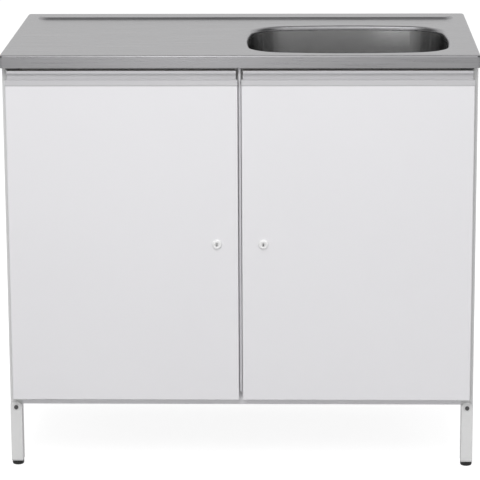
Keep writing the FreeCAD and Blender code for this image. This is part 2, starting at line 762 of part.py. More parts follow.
def waste_seal_and_nut():
    """Rubber seal and ribbed nut that clamp the strainer body under the bowl."""
    inner = waste_cup + fit_gap
    keep(ring("waste_seal", inner, backnut_radius, seat_under - seal_height, seat_under), "waste_seal")
    low = seat_under - seal_height - backnut_height
    nut = ring("backnut_ring", inner, backnut_radius, low, seat_under - seal_height)
    grooves = []
    groove_count = 12
    for number in range(groove_count):
        angle = 2 * math.pi * number / groove_count
        x = bowl_x + backnut_radius * math.cos(angle)
        y = bowl_y + backnut_radius * math.sin(angle)
        grooves.append(rod(x, y, low - fit_gap, nut_groove, nut_groove_height))
    keep(cut(nut, grooves, "waste_backnut"), "waste_backnut")


def basket():
    """Lift-out basket: perforated cup, rolled rim and a knob to lift it by."""
    foot = cup_under + waste_wall + fit_gap
    rim = waste_cup - waste_wall - fit_gap
    rise = basket_depth + basket_stem
    outline = [
        (sized(0), sized(0)), (basket_foot, sized(0)), (basket_radius, basket_depth - basket_wall),
        (rim, basket_depth - basket_wall), (rim, basket_depth),
        (basket_radius - basket_wall, basket_depth), (basket_foot - basket_wall, basket_wall),
        (basket_stem, basket_wall), (basket_stem, rise - basket_wall * 2), (basket_knob, rise),
        (basket_knob, rise + basket_wall * 2), (sized(0), rise + basket_wall * 3)]
    body = turned("basket_strainer", outline, bowl_x, bowl_y, foot)
    for radius, count in ((basket_inner_row, 8), (basket_outer_row, 12)):
        sketch = draw_circle(new_sketch(body, "XY_Plane", basket_wall), (radius, sized(0)), basket_hole)
        hole = pocket_down(body, sketch, basket_wall * 2)
        ring_of_holes = body.newObject("PartDesign::PolarPattern", "basket_holes")
        ring_of_holes.Originals = [hole]
        ring_of_holes.Axis = (sketch, ["N_Axis"])
        ring_of_holes.Angle = 360
        ring_of_holes.Occurrences = count
        body.Tip = ring_of_holes
    keep(body, "basket_strainer")


def trap():
    """Bottle trap: tail pipe, body with its side outlet, screw-off cup and union nuts."""
    bore = pipe_radius - pipe_wall
    tail_top = cup_under - union_height
    tail_low = trap_joint + trap_wall * 2
    keep(ring("trap_tailpiece", bore, pipe_radius, tail_low, tail_top), "trap_tailpiece")
    inner = trap_radius - trap_wall
    neck = pipe_radius + fit_gap
    shell = turned("trap_shell", [
        (inner, sized(0)), (trap_radius, sized(0)), (trap_radius, trap_upper), (neck, trap_upper),
        (neck, trap_upper - trap_wall), (inner, trap_upper - trap_wall)], bowl_x, bowl_y, trap_joint)
    spigot_length = trap_radius + union_height
    spigot = rod(bowl_x, bowl_y, outlet_z, pipe_radius + trap_wall, spigot_length, "y")
    spigot_bore = rod(bowl_x, bowl_y, outlet_z, pipe_radius + fit_gap, spigot_length + trap_wall, "y")
    chamber = rod(bowl_x, bowl_y, trap_joint - trap_wall, inner, trap_upper)
    spigot = cut(spigot, [chamber])
    keep(cut(fuse([shell, spigot]), [spigot_bore], "trap_body"), "trap_body")
    cup = turned("trap_cup", [
        (sized(0), sized(0)), (trap_radius - trap_wall, sized(0)), (trap_radius, trap_wall),
        (trap_radius, trap_lower), (inner, trap_lower), (inner, trap_wall), (sized(0), trap_wall)],
        bowl_x, bowl_y, trap_joint - trap_lower)
    keep(cup, "trap_cup")
    outlet_start = bowl_y + trap_radius + trap_wall
    outlet_length = rear - outlet_end_gap - outlet_start
    bead_end = outlet_length - outlet_spigot
    outlet = turned("trap_outlet", [
        (bore, sized(0)), (pipe_radius, sized(0)), (pipe_radius, bead_end - stop_bead * 2),
        (pipe_radius + stop_bead, bead_end - stop_bead), (pipe_radius + stop_bead, bead_end),
        (pipe_radius, bead_end), (pipe_radius, outlet_length), (bore, outlet_length)],
        bowl_x, outlet_start, outlet_z, "y")
    keep(outlet, "trap_outlet")
    nuts = []
    for number, (y, z, direction) in enumerate((
            (bowl_y, tail_top - union_height / 2, "z"), (bowl_y, trap_top + fit_gap, "z"),
            (bowl_y + spigot_length + fit_gap, outlet_z, "y"))):
        nuts.append(turned("union_nut_%d" % number, [
            (pipe_radius + tight_gap, sized(0)), (union_radius, sized(0)), (union_radius, union_shoulder),
            (union_radius - pipe_wall, union_height), (pipe_radius + tight_gap, union_height)],
            bowl_x, y, z, direction))
    keep(group(nuts, "trap_nuts"), "trap_nuts")


# ---------------------------------------------------------------- carcass

def side_panel(name, side):
    """Side panel: one sheet with a front and a rear flange turned inwards."""
    outer = side * body_side
    inner = side * inner_side
    corners = [
        (outer, body_front), (side * (body_side - front_flange), body_front),
        (side * (body_side - front_flange), body_front + steel_gauge), (inner, body_front + steel_gauge),
        (inner, body_rear - steel_gauge), (side * (body_side - rear_flange), body_rear - steel_gauge),
        (side * (body_side - rear_flange), body_rear), (outer, body_rear)]
    body = new_body(name, 0, 0, body_bottom)
    pad(body, draw_outline(new_sketch(body, "XY_Plane"), corners), edge_bottom - body_bottom)
    body_round(body, upright_at((outer, body_front), (outer, body_rear)), bend_radius)
    keep(body, name)


def bottom_panel():
    """Floor of the cabinet, folded down into the bottom rail at front and rear."""
    rail_end = body_side - front_flange - fit_gap
    inner_front = body_front + steel_gauge
    inner_rear = body_rear - steel_gauge * 2 - fit_gap
    profile = [
        (body_front, body_bottom), (body_front + floor_lip, body_bottom),
        (body_front + floor_lip, body_bottom + steel_gauge), (inner_front, body_bottom + steel_gauge),
        (inner_front, floor_top - steel_gauge), (inner_rear - steel_gauge, floor_top - steel_gauge),
        (inner_rear - steel_gauge, body_bottom), (inner_rear, body_bottom), (inner_rear, floor_top),
        (body_front, floor_top)]
    body = new_body("bottom_panel", -rail_end, 0, 0)
    pad(body, draw_outline(new_sketch(body, "YZ_Plane"), profile), rail_end * 2)
    wide = inner_side - fit_gap
    floor = draw_rectangle(new_sketch(body, "XY_Plane", floor_top - steel_gauge),
                           span(rail_end - wide, rail_end + wide), span(inner_front + fit_gap, inner_rear))
    pad(body, floor, steel_gauge)
    keep(body, "bottom_panel")


def back_panel():
    """Rear sheet with the service opening behind the trap."""
    wide = inner_side - fit_gap
    sheet_front = body_rear - steel_gauge * 2
    body = new_body("back_panel")
    pad(body, draw_rectangle(new_sketch(body, "XZ_Plane", -sheet_front), span(-wide, wide),
                             span(floor_top + fit_gap, rail_bottom - fit_gap)), steel_gauge, True)
    opening = draw_rectangle(new_sketch(body, "XZ_Plane", -sheet_front),
                             span(bowl_x - service_width / 2, bowl_x + service_width / 2),
                             span(service_low, service_low + service_height))
    pocket_through(body, opening)
    keep(body, "back_panel")


def front_top_rail():
    """Front top rail behind the grips; its flange stops short of the bowl."""
    rail_end = body_side - front_flange - fit_gap
    flange_end = bowl_x - bowl_width / 2 - front_flange
    face = block(span(-rail_end, rail_end), span(body_front, body_front + steel_gauge),
                 span(rail_bottom, edge_bottom))
    flange = block(span(-rail_end, flange_end), span(body_front, body_front + rail_flange),
                   span(edge_bottom - steel_gauge, edge_bottom))
    drills = [rod(x, y, edge_bottom - steel_gauge * 2, top_screw + fit_gap / 2, steel_gauge * 3)
              for x, y in top_screw_places() if y.value < 0]
    keep(cut(fuse([face, flange]), drills, "front_top_rail"), "front_top_rail")


def rear_top_rail():
    """Rear top rail with the two holes that screw the unit to the wall."""
    wide = inner_side - fit_gap
    sheet_front = body_rear - steel_gauge * 2
    face = block(span(-wide, wide), span(sheet_front, sheet_front + steel_gauge),
                 span(rail_bottom, edge_bottom))
    top = block(span(-wide, wide), span(sheet_front - rail_flange, sheet_front),
                span(edge_bottom - steel_gauge, edge_bottom))
    foot = block(span(-wide, wide), span(sheet_front - rail_flange, sheet_front),
                 span(rail_bottom, rail_bottom + steel_gauge))
    drills = [rod(x, y, edge_bottom - steel_gauge * 2, top_screw + fit_gap / 2, steel_gauge * 3)
              for x, y in top_screw_places() if y.value > 0]
    hole_x = half_width - wall_hole_inset
    middle = rail_bottom + rail_height / 2
    wall_holes = [rod(side * hole_x, sheet_front - steel_gauge, middle, wall_hole_radius,
                      steel_gauge * 3, "y") for side in (-1, 1)]
    keep(cut(fuse([face, top, foot]), drills + wall_holes, "rear_top_rail"), "rear_top_rail")


def centre_post():
    """Channel behind the doors: a folded rib fills their joint, and slots take the lock cams."""
    half = post_width / 2
    rib = nose_width / 2
    nose = door_face + nose_inset
    post_back = post_front + post_depth
    behind = post_front + steel_gauge
    channel = [
        (-half, post_front), (-rib, post_front), (-rib, nose), (rib, nose), (rib, post_front),
        (half, post_front), (half, post_back), (half - steel_gauge, post_back),
        (half - steel_gauge, behind), (rib - steel_gauge, behind), (rib - steel_gauge, nose + steel_gauge),
        (steel_gauge - rib, nose + steel_gauge), (steel_gauge - rib, behind),
        (steel_gauge - half, behind), (steel_gauge - half, post_back), (-half, post_back)]
    rib_back = post_front - fit_gap
    fold = [
        (-rib, rib_back), (-rib, nose), (rib, nose), (rib, rib_back), (rib - steel_gauge, rib_back),
        (rib - steel_gauge, nose + steel_gauge), (steel_gauge - rib, nose + steel_gauge),
        (steel_gauge - rib, rib_back)]
    body = new_body("centre_post", 0, 0, floor_top)
    pad(body, draw_outline(new_sketch(body, "XY_Plane"), channel), rail_bottom - floor_top - fit_gap)
    pad(body, draw_outline(new_sketch(body, "XY_Plane"), fold), edge_bottom - nose_top_gap - floor_top)
    slot = draw_rectangle(
        new_sketch(body, "YZ_Plane"),
        span(behind + cam_gap / 2, behind + cam_gap * 2 + cam_gauge + steel_gauge),
        span(lock_height - floor_top - cam_length - steel_gauge,
             lock_height - floor_top + cam_width / 2 + steel_gauge * 3))
    pocket_through(body, slot)
    bends = upright_at((-half, post_front), (half, post_front))
    body_round(body, bends, bend_radius / 2)
    body_round(body, upright_at((-rib, nose), (rib, nose)), nose_round)
    keep(body, "centre_post")


def shelf():
    """Loose shelf: a tray folded down on all four sides."""
    wide = inner_side - fit_gap * 3
    low_y = body_front + shelf_front_gap
    high_y = body_rear - shelf_rear_gap
    outside = block(span(-wide, wide), span(low_y, high_y), span(shelf_height - shelf_edge, shelf_height))
    inside = block(span(steel_gauge - wide, wide - steel_gauge),
                   span(low_y + steel_gauge, high_y - steel_gauge),
                   span(shelf_height - shelf_edge - steel_gauge, shelf_height - steel_gauge))
    keep(cut(outside, [inside], "shelf"), "shelf")


def shelf_clips():
    clips = []
    low = shelf_height - shelf_edge - clip_length / 2
    for side in (-1, 1):
        for y in (body_front + shelf_front_gap * 2, body_rear - shelf_rear_gap * 3):
            clips.append(block(span(side * inner_side, side * (inner_side - clip_reach)),
                               span(y, y + clip_length), span(low, shelf_height - shelf_edge), "clip"))
    keep(group(clips, "shelf_clips"), "shelf_clips")


# ---------------------------------------------------------------- doors

def grip_section():
    """Outer outline of the grip extrusion as (Y, Z) points, and the side that is the cove's arc."""
    lip_under = grip_top - lip_height
    cove_back = door_face + cove_depth
    cove_foot = lip_under - cove_height
    tongue_low = grip_bottom - grip_tongue
    front_tongue = door_face + door_gauge + fit_gap / 2
    rear_tongue = door_back - door_gauge * 2 - fit_gap / 2
    corners = [
        (door_face + band_bevel_depth, grip_bottom), (door_face, grip_bottom + band_bevel),
        (door_face, cove_foot), (cove_back, lip_under),
        (door_face + lip_setback, lip_under), (door_face + lip_setback, grip_top), (door_back, grip_top),
        (door_back, grip_bottom), (rear_tongue, grip_bottom), (rear_tongue, tongue_low),
        (rear_tongue - grip_wall, tongue_low), (rear_tongue - grip_wall, grip_bottom),
        (front_tongue + grip_wall, grip_bottom), (front_tongue + grip_wall, tongue_low),
        (front_tongue, tongue_low), (front_tongue, grip_bottom)]
    return corners, 2


def grip_chamber():
    """Hollow of the extrusion, one wall inside the outline."""
    lip_under = grip_top - lip_height
    cove_back = door_face + cove_depth + grip_wall
    cove_foot = lip_under - cove_height - grip_wall
    back = door_back - grip_wall
    return [
        (door_face + grip_wall, grip_bottom + grip_wall), (door_face + grip_wall, cove_foot),
        (cove_back, lip_under), (cove_back, grip_top - grip_wall), (back, grip_top - grip_wall),
        (back, grip_bottom + grip_wall)]


def door_grip(name, side):
    """Extruded grip: pulling lip, finger cove, flat band, hollow chamber and two tongues."""
    start = span(side * door_inner, side * door_outer)[0]
    body = new_body(name, start, 0, 0)
    corners, cove = grip_section()
    sketch = draw_outline(new_sketch(body, "YZ_Plane"), corners, {cove: (cove_round, -1)})
    draw_outline(sketch, grip_chamber(), {1: (cove_round + grip_wall, -1)})
    pad(body, sketch, door_width)
    notch_low = grip_top - lip_height - cove_height + steel_gauge
    notches = new_sketch(body, "XZ_Plane")
    up = span(notch_low, grip_top + overrun)
    draw_rectangle(notches, span(-overrun, grip_notch), up)
    draw_rectangle(notches, span(door_width - grip_notch, door_width + overrun), up)
    pocket_through(body, notches)
    pin_at = side * pivot_x - start
    hole = draw_circle(new_sketch(body, "XY_Plane", grip_top), (pin_at, pivot_y), upper_pin + fit_gap)
    pocket_down(body, hole, grip_wall * 2)
    tongue_span = span(grip_bottom - grip_tongue - overrun, grip_bottom)
    tongue_ends = new_sketch(body, "XZ_Plane")
    inside = door_gauge + fit_gap
    draw_rectangle(tongue_ends, span(-overrun, inside), tongue_span)
    draw_rectangle(tongue_ends, span(door_width - inside, door_width + overrun), tongue_span)
    pocket_through(body, tongue_ends)
    keep(body, name)


def door_skin(name, side):
    """Door sheet: face with folded sides and bottom, open at the back and top."""
    low, high = span(side * door_inner, side * door_outer)
    corners = [
        (low, door_face), (high, door_face), (high, door_back), (high - door_gauge, door_back),
        (high - door_gauge, door_face + door_gauge), (low + door_gauge, door_face + door_gauge),
        (low + door_gauge, door_back), (low, door_back)]
    body = new_body(name, 0, 0, door_bottom)
    pad(body, draw_outline(new_sketch(body, "XY_Plane"), corners), skin_top - door_bottom)
    foot = draw_rectangle(new_sketch(body, "XY_Plane"), span(low + door_gauge / 2, high - door_gauge / 2),
                          span(door_face + door_gauge / 2, door_back))
    pad(body, foot, door_gauge)
    body_round(body, upright_at((low, door_face), (high, door_face)), bend_radius)
    lock_hole = draw_circle(new_sketch(body, "XZ_Plane"), (side * lock_x, lock_height - door_bottom),
                            lock_barrel + tight_gap)
    pocket_through(body, lock_hole)
    bush_hole = draw_circle(new_sketch(body, "XY_Plane", door_gauge), (side * pivot_x, pivot_y),
                            bush_radius + tight_gap)
    pocket_down(body, bush_hole, door_gauge * 2)
    keep(body, name)


def door_liner(name, side):
    """Inner sheet that closes the back of a door."""
    low, high = span(side * door_inner, side * door_outer)
    inset = door_gauge + fit_gap
    body = new_body(name)
    sheet_sketch = draw_rectangle(new_sketch(body, "XZ_Plane", -door_back), span(low + inset, high - inset),
                                  span(door_bottom + inset, skin_top))
    pad(body, sheet_sketch, door_gauge)
    lock_hole = draw_circle(new_sketch(body, "XZ_Plane"), (side * lock_x, lock_height),
                            lock_barrel + tight_gap)
    pocket_through(body, lock_hole)
    keep(body, name)


def door_stiffener(name, side):
    """Hat channel between face and liner, half way across the door."""
    middle = side * (door_inner + door_outer) / 2
    half = stiffener_width / 2
    flange = half + stiffener_flange
    face_side = door_face + door_gauge
    liner_side = door_back - door_gauge
    flange_front = liner_side - door_gauge
    corners = [
        (middle - half, face_side), (middle + half, face_side), (middle + half, flange_front),
        (middle + flange, flange_front), (middle + flange, liner_side),
        (middle + half - door_gauge, liner_side), (middle + half - door_gauge, face_side + door_gauge),
        (middle - half + door_gauge, face_side + door_gauge), (middle - half + door_gauge, liner_side),
        (middle - flange, liner_side), (middle - flange, flange_front), (middle - half, flange_front)]
    low = door_bottom + door_gauge + fit_gap
    body = new_body(name, 0, 0, low)
    pad(body, draw_outline(new_sketch(body, "XY_Plane"), corners), skin_top - grip_tongue - fit_gap * 3 - low)
    keep(body, name)


def door_bumpers(name, side):
    """Rubber buffers between a door and the post."""
    x = side * (door_inner + bumper_inset)
    thickness = body_front - door_back
    parts = [rod(x, door_back, z, bumper_radius, thickness - fit_gap, "y", "bumper")
             for z in (door_bottom + bumper_margin, skin_top - bumper_margin)]
    keep(group(parts, name), name)


def pivot_parts(side_name, side):
    """Plastic block in the grip for the upper pin, and the flanged bush for the lower pin."""
    low, high = span(side * (door_outer - grip_notch), side * (pivot_x - pivot_inset))
    chamber_low = door_face + cove_depth + grip_wall + fit_gap
    chamber_high = door_back - grip_wall - tight_gap
    block_low = grip_top - grip_wall - upper_pin_length
    holder = block(span(low, high), span(chamber_low, chamber_high), span(block_low, grip_top - grip_wall))
    bore = rod(side * pivot_x, pivot_y, block_low - overrun, upper_pin + pivot_fit,
               upper_pin_length + overrun * 2)
    name = "pivot_block_" + side_name
    keep(cut(holder, [bore], name), name)
    flange_low = door_bottom - bush_collar
    bush = turned("pivot_bush_" + side_name, [
        (lower_pin + pivot_fit, sized(0)), (bush_flange, sized(0)), (bush_flange, bush_collar),
        (bush_radius, bush_collar), (bush_radius, bush_collar + bush_length),
        (lower_pin + pivot_fit, bush_collar + bush_length)], side * pivot_x, pivot_y, flange_low)
    keep(bush, "pivot_bush_" + side_name)


shoulder_level = door_bottom - bush_collar - tight_gap
bracket_low_level = shoulder_level - bracket_low_gauge


def hinge_brackets():
    """Plates welded to the carcass front, each with a pivot pin for a door."""
    uppers = []
    lowers = []
    upper_level = grip_top + fit_gap * 5
    for side in (-1, 1):
        across = span(side * (pivot_x + upper_pin * 3), side * (pivot_x + upper_pin * 3 - bracket_width))
        along = span(pivot_y - bracket_reach, body_front)
        plate = block(across, along, span(upper_level, upper_level + bracket_gauge))
        pin_low = grip_top - grip_wall - upper_pin_length + fit_gap * 5
        pin = rod(side * pivot_x, pivot_y, pin_low, upper_pin, upper_level - pin_low + bracket_gauge / 2)
        uppers.append(fuse([plate, pin]))
        plate = block(across, along, span(bracket_low_level, shoulder_level))
        pin = rod(side * pivot_x, pivot_y, shoulder_level - bracket_low_gauge / 2, lower_pin,
                  lower_pin_length + bracket_low_gauge / 2)
        lowers.append(fuse([plate, pin]))
    keep(group(uppers, "hinge_brackets_upper"), "hinge_brackets_upper")
    keep(group(lowers, "hinge_brackets_lower"), "hinge_brackets_lower")


# ---------------------------------------------------------------- locks

cam_front = body_front + steel_gauge + cam_gap


def lock(side_name, side):
    """Cam lock: ring and barrel in the door, nut behind it, and the plug that turns the cam."""
    x = side * lock_x
    barrel_length = cam_front - tight_gap - door_face
    bore_radius = plug_radius + pivot_fit
    housing = turned("lock_housing_" + side_name, [
        (bore_radius, plug_recess - rosette_height), (rosette_face, -rosette_height),
        (rosette_radius, -rosette_edge), (rosette_radius, sized(0)), (lock_barrel, sized(0)),
        (lock_barrel, barrel_length), (bore_radius, barrel_length)],
        x, door_face, lock_height, "y", {1: (rosette_round, -1)})
    keep(housing, "lock_housing_" + side_name)
    nut = doc.addObject("Part::Prism", "lock_nut_form")
    nut.Polygon = 6
    bind(nut, "Circumradius", lock_nut_radius)
    bind(nut, "Height", lock_nut_height)
    set_base(nut, x, door_back, lock_height, "y")
    bore = rod(x, door_back - overrun, lock_height, lock_barrel + pivot_fit,
               lock_nut_height + overrun * 2, "y")
    keep(cut(nut, [bore], "lock_nut_" + side_name), "lock_nut_" + side_name)
    plug_front = door_face - rosette_height + plug_recess
    plug = rod(x, plug_front, lock_height, plug_radius, cam_front - plug_front, "y")
    key_slot = block(span(x - key_width / 2, x + key_width / 2),
                     span(plug_front - overrun, plug_front + key_depth),
                     span(lock_height - key_height / 2, lock_height + key_height / 2))
    keep(cut(plug, [key_slot], "lock_cylinder_" + side_name), "lock_cylinder_" + side_name)
    tip = block(span(x - cam_width / 2, x + cam_width / 2), span(cam_front, cam_front + cam_gauge),
                span(lock_height - cam_length + cam_width / 2, lock_height))
    eye = rod(x, cam_front, lock_height, cam_width / 2, cam_gauge, "y")
    end = rod(x, cam_front, lock_height - cam_length + cam_width / 2, cam_width / 2, cam_gauge, "y")
    keep(fuse([tip, eye, end], "lock_cam_" + side_name), "lock_cam_" + side_name)


# ---------------------------------------------------------------- legs and feet

CORNERS = (("front_left", -1, -1), ("front_right", 1, -1), ("rear_left", -1, 1), ("rear_right", 1, 1))


def leg(name, side, end):
    """Leg tube whose outer wall runs up into a round tongue with the screw in it."""
    x, y = side * leg_x, end * leg_y
    half_x, half_y = leg_width / 2, leg_depth / 2
    screw_level = body_bottom - screw_drop
    tube = block(span(x - half_x, x + half_x), span(y - half_y, y + half_y), span(leg_end, body_bottom))
    tube = rounded(tube, upright, bend_radius)
    bore = block(span(x - half_x + leg_wall, x + half_x - leg_wall),
                 span(y - half_y + leg_wall, y + half_y - leg_wall),
                 span(leg_end - overrun, body_bottom + overrun))
    face = y + end * half_y
    behind = face - end * leg_wall
    start = span(face, behind)[0]
    tongue = rod(x, start, screw_level, half_x, leg_wall, "y")
    shoulder_cut = block(span(x - half_x - overrun, x + half_x + overrun),
                         span(start - overrun, start + leg_wall + overrun),
                         span(screw_level, body_bottom + overrun))
    tube = cut(tube, [bore, shoulder_cut])
    drill = rod(x, start - overrun, screw_level, leg_screw + fit_gap / 2, leg_wall + overrun * 2, "y")
    keep(cut(fuse([tube, tongue]), [drill], "leg_" + name), "leg_" + name)


def leg_mounts_and_screws():
    """Box mounts under the cabinet floor that the legs slide over, and the screws that hold them."""
    mounts = []
    screws = []
    screw_level = body_bottom - screw_drop
    for _, side, end in CORNERS:
        x = side * leg_x
        half_x = leg_width / 2 - leg_wall - mount_gap
        half_y = leg_depth / 2 - leg_wall - mount_gap
        outer_y = end * (leg_y + half_y)
        inner_y = end * (leg_y - half_y)
        upper_y = end * (smaller(leg_y + half_y, -body_front - steel_gauge - fit_gap))
        lower = block(span(x - half_x, x + half_x), span(inner_y, outer_y),
                      span(body_bottom - mount_length, body_bottom))
        upper = block(span(x - half_x, x + half_x), span(inner_y, upper_y),
                      span(body_bottom - mount_wall, floor_top - steel_gauge))
        hollow_x = span(x - half_x + mount_wall, x + half_x - mount_wall)
        hollow_low = body_bottom - mount_length - overrun
        hollow = block(hollow_x, span(inner_y + end * mount_wall, upper_y - end * mount_wall),
                       span(hollow_low, floor_top))
        low_hollow = block(hollow_x, span(inner_y + end * mount_wall, outer_y - end * mount_wall),
                           span(hollow_low, body_bottom - mount_wall))
        outward = "y" if end < 0 else "-y"
        face_y = end * (leg_y + leg_depth / 2)
        drill = rod(x, end * leg_y, screw_level, leg_screw + pivot_fit, leg_depth, "-y" if end < 0 else "y")
        mounts.append(cut(fuse([lower, upper]), [hollow, low_hollow, drill]))
        head = rod(x, face_y + end * leg_screw_head_height, screw_level, leg_screw_head,
                   leg_screw_head_height, outward)
        socket = rod(x, face_y + end * leg_screw_head_height, screw_level, leg_screw_head / 2,
                     leg_screw_head_height / 2, outward)
        shank = rod(x, face_y + end * leg_screw_head_height / 4, screw_level, leg_screw,
                    leg_wall + mount_wall * 2, outward)
        screws.append(cut(fuse([head, shank]), [socket]))
    keep(group(mounts, "leg_mounts"), "leg_mounts")
    keep(group(screws, "leg_screws"), "leg_screws")


def foot_plugs():
    """Plastic end plugs with the thread for the feet."""
    plugs = []
    for _, side, end in CORNERS:
        x, y = side * leg_x, end * leg_y
        half_x, half_y = leg_width / 2, leg_depth / 2
        flange = block(span(x - half_x, x + half_x), span(y - half_y, y + half_y),
                       span(leg_end - plug_flange, leg_end))
        flange = rounded(flange, upright, bend_radius)
        inner_x = half_x - leg_wall - tight_gap
        inner_y = half_y - leg_wall - tight_gap
        core = block(span(x - inner_x, x + inner_x), span(y - inner_y, y + inner_y),
                     span(leg_end, leg_end + plug_length))
        bore = rod(x, y, leg_end - plug_flange - overrun, stem_radius + stem_fit,
                   plug_length + plug_flange + overrun * 2)
        plugs.append(cut(fuse([flange, core]), [bore]))
    keep(group(plugs, "foot_plugs"), "foot_plugs")


def foot(name, side, end):
    """Levelling foot: black pad with a rounded sole edge, on a threaded stem."""
    sole = foot_radius - foot_round
    body = turned("foot_" + name, [
        (sized(0), sized(0)), (sole, sized(0)), (foot_radius, foot_round), (foot_radius, foot_height),
        (stem_radius, foot_height), (stem_radius, foot_height + stem_length),
        (sized(0), foot_height + stem_length)],
        side * leg_x, end * leg_y, 0, "z", {1: (foot_round, -1)})
    keep(body, "foot_" + name)


def worktop_screws():
    """Screws from the top rails into the worktop's board."""
    screws = []
    for x, y in top_screw_places():
        low = edge_bottom - steel_gauge - top_screw_head_height
        head = rod(x, y, low, top_screw_head, top_screw_head_height)
        shank = rod(x, y, low + top_screw_head_height / 2, top_screw, top_screw_length)
        screws.append(fuse([head, shank]))
    keep(group(screws, "worktop_screws"), "worktop_screws")


# ---------------------------------------------------------------- assembly

worktop_sheet()
worktop_board()
bowl()
waste_body()
waste_seal_and_nut()
basket()
trap()
for panel_name, panel_side in (("side_panel_left", -1), ("side_panel_right", 1)):
    side_panel(panel_name, panel_side)
bottom_panel()
back_panel()
front_top_rail()
rear_top_rail()
centre_post()
shelf()
shelf_clips()
hinge_brackets()
for side_name, side in (("left", -1), ("right", 1)):
    door_skin("door_skin_" + side_name, side)
    door_liner("door_liner_" + side_name, side)
    door_stiffener("door_stiffener_" + side_name, side)
    door_grip("door_grip_" + side_name, side)
    door_bumpers("door_bumpers_" + side_name, side)
    pivot_parts(side_name, side)
    lock(side_name, side)
for corner_name, corner_side, corner_end in CORNERS:
    leg(corner_name, corner_side, corner_end)
    foot(corner_name, corner_side, corner_end)
leg_mounts_and_screws()
foot_plugs()
worktop_screws()

doc.recompute()
for thing in doc.Objects:
    if "Invalid" in thing.State or "Error" in thing.State:
        raise RuntimeError("%s failed: %s" % (thing.Label, thing.State))
os.makedirs("parts", exist_ok=True)
for node in nodes:
    if node.Shape.isNull() or not node.Shape.isValid() or not node.Shape.Solids:
        raise RuntimeError(node.Label + " has no valid solid")
for node in nodes:
    node.Shape.exportStep("parts/%s.step" % node.Label)
    print(node.Label, len(node.Shape.Solids), "%.1f" % node.Shape.Volume)
print(len(nodes), "pieces")
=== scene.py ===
import json
import math

import bpy
from mathutils import Matrix, Vector

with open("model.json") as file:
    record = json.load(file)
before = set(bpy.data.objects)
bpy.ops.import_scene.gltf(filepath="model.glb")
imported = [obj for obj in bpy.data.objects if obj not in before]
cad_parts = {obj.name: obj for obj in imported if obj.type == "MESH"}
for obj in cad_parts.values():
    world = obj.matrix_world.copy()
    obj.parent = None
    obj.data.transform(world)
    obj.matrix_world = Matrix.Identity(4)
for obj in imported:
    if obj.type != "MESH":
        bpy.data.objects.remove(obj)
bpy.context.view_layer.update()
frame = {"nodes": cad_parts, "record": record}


def feed(tree, source, socket):
    """Sets a socket to a number, or links it to the socket of another node."""
    if isinstance(source, float):
        socket.default_value = source
    else:
        tree.links.new(source, socket)


# ---- materials ----
# Each one is a single shader. Noise in the node's own coordinates gives it a little
# unevenness of colour, gloss and surface.

NOISE_SPAN = (0.3, 0.7)     # the part of the noise's values that is stretched to a full range
NOISE_DETAIL = 3.0
FINE_DETAIL = 2.0
EVEN = (1.0, 1.0, 1.0)
ALONG_X = (0.02, 1.0, 1.0)  # draws the grain out along the unit's width


class Look:
    def __init__(self, name):
        self.made = bpy.data.materials.new(name)
        self.made.use_nodes = True
        self.tree = self.made.node_tree
        self.shader = self.tree.nodes["Principled BSDF"]
        self.place = self.tree.nodes.new("ShaderNodeTexCoord").outputs["Object"]

    def noise(self, scale, detail=NOISE_DETAIL, stretch=EVEN):
        mapping = self.tree.nodes.new("ShaderNodeMapping")
        mapping.inputs["Scale"].default_value = stretch
        self.tree.links.new(self.place, mapping.inputs["Vector"])
        made = self.tree.nodes.new("ShaderNodeTexNoise")
        made.inputs["Scale"].default_value = scale
        made.inputs["Detail"].default_value = detail
        self.tree.links.new(mapping.outputs["Vector"], made.inputs["Vector"])
        return made.outputs["Fac"]

    def ranged(self, source, low, high):
        made = self.tree.nodes.new("ShaderNodeMapRange")
        made.inputs["From Min"].default_value, made.inputs["From Max"].default_value = NOISE_SPAN
        made.inputs["To Min"].default_value = low
        made.inputs["To Max"].default_value = high
        self.tree.links.new(source, made.inputs["Value"])
        return made.outputs["Result"]

    def tinted(self, source, colour, change):
        """The colour, and a darker one where the source is low."""
        darker = [c * (1 - change) for c in colour]
        made = self.tree.nodes.new("ShaderNodeMix")
        made.data_type = "RGBA"
        made.inputs["A"].default_value = (*darker, 1)
        made.inputs["B"].default_value = (*colour, 1)
        self.tree.links.new(self.ranged(source, 0, 1), made.inputs["Factor"])
        self.tree.links.new(made.outputs["Result"], self.shader.inputs["Base Color"])

    def rough(self, source, middle, spread):
        self.tree.links.new(self.ranged(source, middle - spread, middle + spread),
                            self.shader.inputs["Roughness"])

    def brushed(self, axis, amount, turn):
        """Stretches the gloss around an axis of the node, or along it with a turn of 0.25."""
        made = self.tree.nodes.new("ShaderNodeTangent")
        made.direction_type = "RADIAL"
        made.axis = axis
        self.shader.inputs["Anisotropic"].default_value = amount
        self.shader.inputs["Anisotropic Rotation"].default_value = turn
        self.tree.links.new(made.outputs["Tangent"], self.shader.inputs["Tangent"])

    def bumped(self, source, depth):
        made = self.tree.nodes.new("ShaderNodeBump")
        made.inputs["Distance"].default_value = depth
        self.tree.links.new(source, made.inputs["Height"])
        self.tree.links.new(made.outputs["Normal"], self.shader.inputs["Normal"])


def grey(level):
    return (level, level, level)


def cool(level):
    """A grey with a trace of blue."""
    return (level, level * 0.992, level * 1.018)


def paint(name, colour, change, rough):
    tint_scale, gloss_scale, peel_scale, peel_depth = 3, 25, 900, 0.00003
    look = Look(name)
    look.tinted(look.noise(tint_scale), colour, change)
    look.rough(look.noise(gloss_scale), rough, spread=0.04)
    look.bumped(look.noise(peel_scale, FINE_DETAIL), peel_depth)
    return look.made


